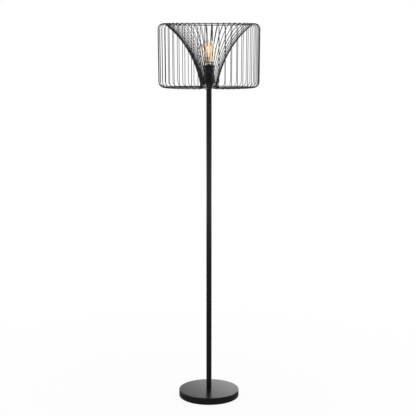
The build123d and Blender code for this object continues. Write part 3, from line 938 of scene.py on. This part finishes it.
phosphor_face = add_node(
    phosphor,
    "ShaderNodeBsdfPrincipled",
    {"Base Color": linear("#e8c34a"), "Roughness": 0.5},
    {
        "Emission Color": phosphor_glow.outputs["Color"],
        "Emission Strength": phosphor_strength.outputs["Result"],
    },
)
add_node(phosphor, "ShaderNodeOutputMaterial", links={"Surface": phosphor_face.outputs["BSDF"]})
wear(phosphor, rods)


# ---------------------------------------------------------------- floor, backdrop, light and camera
# A white floor with a faint shadow runs into a white backdrop. In reflections the room is dim in front, as in
# a studio, and brighter behind, most of all at the right. In reflections only, the floor is painted dim, with
# a painted bright band some metres away that no lamp lights, and this band paints a soft sheen on the pole.
# Two softboxes light the lamp from the sides.
FLOOR_SIDE = 60.0
SHADOW_PART = 0.07
SHADOW_NEAR = 0.3
SHADOW_FAR = 1.6
# Floor brightness seen only in reflections: painted dim, with a painted bright band that paints the pole's
# sheen.
FLOOR_REFLECTION_DIM = 0.16
SHEEN_BAND_GLOW = 1.5
SHEEN_BAND_NEAR = 4.6
SHEEN_BAND_FAR = 8.5
SHEEN_BAND_EDGE = 1.0
ROOM_FRONT = 0.12
ROOM_TURN = -0.2
BACKDROP_EDGE = 0.3
BACKDROP_LEFT = 0.45
BACKDROP_RIGHT = 1.65
BACKDROP_TURN = 0.08
SKY_LIGHT = 0.6
POLE_MIDDLE = (0, 0, 0.7)
RIGHT_PLACE = (2.6, 1.0, 2.2)
LEFT_PLACE = (-2.6, -0.6, 2.4)
LENS = 89.74
SENSOR = 36.0
CAMERA_PLACE = (-0.004, -4.2, 1.465)
CAMERA_PITCH = math.radians(80.99)

bpy.ops.object.select_all(action="DESELECT")
bpy.ops.mesh.primitive_plane_add(size=FLOOR_SIDE)
floor = bpy.context.object
floor.name = "floor"
white = linear("#ffffff")
paint = start_material("Floor, matt white, painted reflection band")
paint_rays = add_node(paint, "ShaderNodeLightPath")
paint_place = add_node(paint, "ShaderNodeTexCoord")
paint_reach = add_node(
    paint, "ShaderNodeVectorMath", {"operation": "LENGTH"}, {0: paint_place.outputs["Object"]}
)
paint_shadow = add_node(
    paint,
    "ShaderNodeMapRange",
    {"From Min": SHADOW_NEAR, "From Max": SHADOW_FAR, "To Min": SHADOW_PART, "To Max": 0.0},
    {"Value": paint_reach.outputs["Value"]},
)
paint_matt = add_node(paint, "ShaderNodeBsdfDiffuse", {"Color": linear("#e4e4e4")})
paint_white = add_node(paint, "ShaderNodeEmission", {"Color": white, "Strength": 1.0})
# Painted reflection: a bright band on the floor some metres out, lit by no lamp, seen only by glossy rays.
sheen_band_rise = add_node(
    paint,
    "ShaderNodeMapRange",
    {"From Min": SHEEN_BAND_NEAR - SHEEN_BAND_EDGE, "From Max": SHEEN_BAND_NEAR + SHEEN_BAND_EDGE, "To Min": 0.0, "To Max": SHEEN_BAND_GLOW},
    {"Value": paint_reach.outputs["Value"]},
)
sheen_band_fall = add_node(
    paint,
    "ShaderNodeMapRange",
    {"From Min": SHEEN_BAND_FAR - SHEEN_BAND_EDGE, "From Max": SHEEN_BAND_FAR + SHEEN_BAND_EDGE, "To Min": 1.0, "To Max": 0.0},
    {"Value": paint_reach.outputs["Value"]},
)
painted_reflection_strength = add_node(
    paint,
    "ShaderNodeMath",
    {"operation": "MULTIPLY_ADD", 2: FLOOR_REFLECTION_DIM},
    {0: sheen_band_rise.outputs["Result"], 1: sheen_band_fall.outputs["Result"]},
)
painted_floor_reflection = add_node(paint, "ShaderNodeEmission", {"Color": white}, {"Strength": painted_reflection_strength.outputs["Value"]})
paint_shown = add_node(
    paint,
    "ShaderNodeMixShader",
    links={"Fac": paint_shadow.outputs["Result"], 1: paint_white.outputs[0], 2: paint_matt.outputs[0]},
)
paint_seen = add_node(
    paint,
    "ShaderNodeMath",
    {"operation": "MAXIMUM"},
    {0: paint_rays.outputs["Is Camera Ray"], 1: paint_rays.outputs["Is Transmission Ray"]},
)
paint_lit = add_node(
    paint,
    "ShaderNodeMixShader",
    links={"Fac": paint_seen.outputs[0], 1: paint_matt.outputs[0], 2: paint_shown.outputs[0]},
)
# Glossy rays see the painted floor reflection in place of the floor's own shading.
paint_face = add_node(
    paint,
    "ShaderNodeMixShader",
    links={"Fac": paint_rays.outputs["Is Glossy Ray"], 1: paint_lit.outputs[0], 2: painted_floor_reflection.outputs[0]},
)
add_node(paint, "ShaderNodeOutputMaterial", links={"Surface": paint_face.outputs[0]})
wear(paint, floor)

world = bpy.data.worlds.new("White backdrop")
bpy.context.scene.world = world
world.use_nodes = True
world.node_tree.nodes.clear()
sky_rays = add_node(world, "ShaderNodeLightPath")
sky_seen = add_node(
    world,
    "ShaderNodeMath",
    {"operation": "MAXIMUM"},
    {0: sky_rays.outputs["Is Camera Ray"], 1: sky_rays.outputs["Is Transmission Ray"]},
)
sky_place = add_node(world, "ShaderNodeTexCoord")
sky_way = add_node(world, "ShaderNodeSeparateXYZ", links={0: sky_place.outputs["Generated"]})
sky_back = add_node(
    world,
    "ShaderNodeMapRange",
    {"From Min": ROOM_TURN, "From Max": BACKDROP_EDGE, "To Min": 0.0, "To Max": 1.0},
    {"Value": sky_way.outputs["Y"]},
)
sky_side = add_node(
    world,
    "ShaderNodeMapRange",
    {
        "From Min": -BACKDROP_TURN,
        "From Max": BACKDROP_TURN,
        "To Min": BACKDROP_LEFT,
        "To Max": BACKDROP_RIGHT,
    },
    {"Value": sky_way.outputs["X"]},
)
sky_gloss = add_node(
    world,
    "ShaderNodeMath",
    {"operation": "MULTIPLY_ADD", 2: ROOM_FRONT},
    {0: sky_back.outputs["Result"], 1: sky_side.outputs["Result"]},
)
sky_white = add_node(world, "ShaderNodeBackground", {"Color": white, "Strength": 1.0})
sky_light = add_node(world, "ShaderNodeBackground", {"Color": white, "Strength": SKY_LIGHT})
sky_mirror = add_node(world, "ShaderNodeBackground", {"Color": white}, {"Strength": sky_gloss.outputs[0]})
sky_plain = add_node(
    world,
    "ShaderNodeMixShader",
    links={"Fac": sky_seen.outputs[0], 1: sky_light.outputs[0], 2: sky_white.outputs[0]},
)
sky_face = add_node(
    world,
    "ShaderNodeMixShader",
    links={"Fac": sky_rays.outputs["Is Glossy Ray"], 1: sky_plain.outputs[0], 2: sky_mirror.outputs[0]},
)
add_node(world, "ShaderNodeOutputWorld", links={"Surface": sky_face.outputs[0]})


def soft_lamp(name, place, side, power):
    """A square area lamp that faces the middle of the pole."""
    lamp = bpy.data.lights.new(name, "AREA")
    lamp.size = side
    lamp.energy = power
    holder = bpy.data.objects.new(name, lamp)
    bpy.context.collection.objects.link(holder)
    holder.location = place
    holder.rotation_euler = (Vector(POLE_MIDDLE) - Vector(place)).to_track_quat("-Z", "Y").to_euler()


soft_lamp("right_softbox", RIGHT_PLACE, side=1.6, power=50)
soft_lamp("left_softbox", LEFT_PLACE, side=1.4, power=25)

camera = bpy.data.cameras.new("camera")
camera.lens = LENS
camera.sensor_width = SENSOR
viewer = bpy.data.objects.new("camera", camera)
bpy.context.collection.objects.link(viewer)
viewer.location = CAMERA_PLACE
viewer.rotation_euler = (CAMERA_PITCH, 0, 0)
bpy.context.scene.camera = viewer
bpy.context.scene.view_settings.view_transform = "Standard"
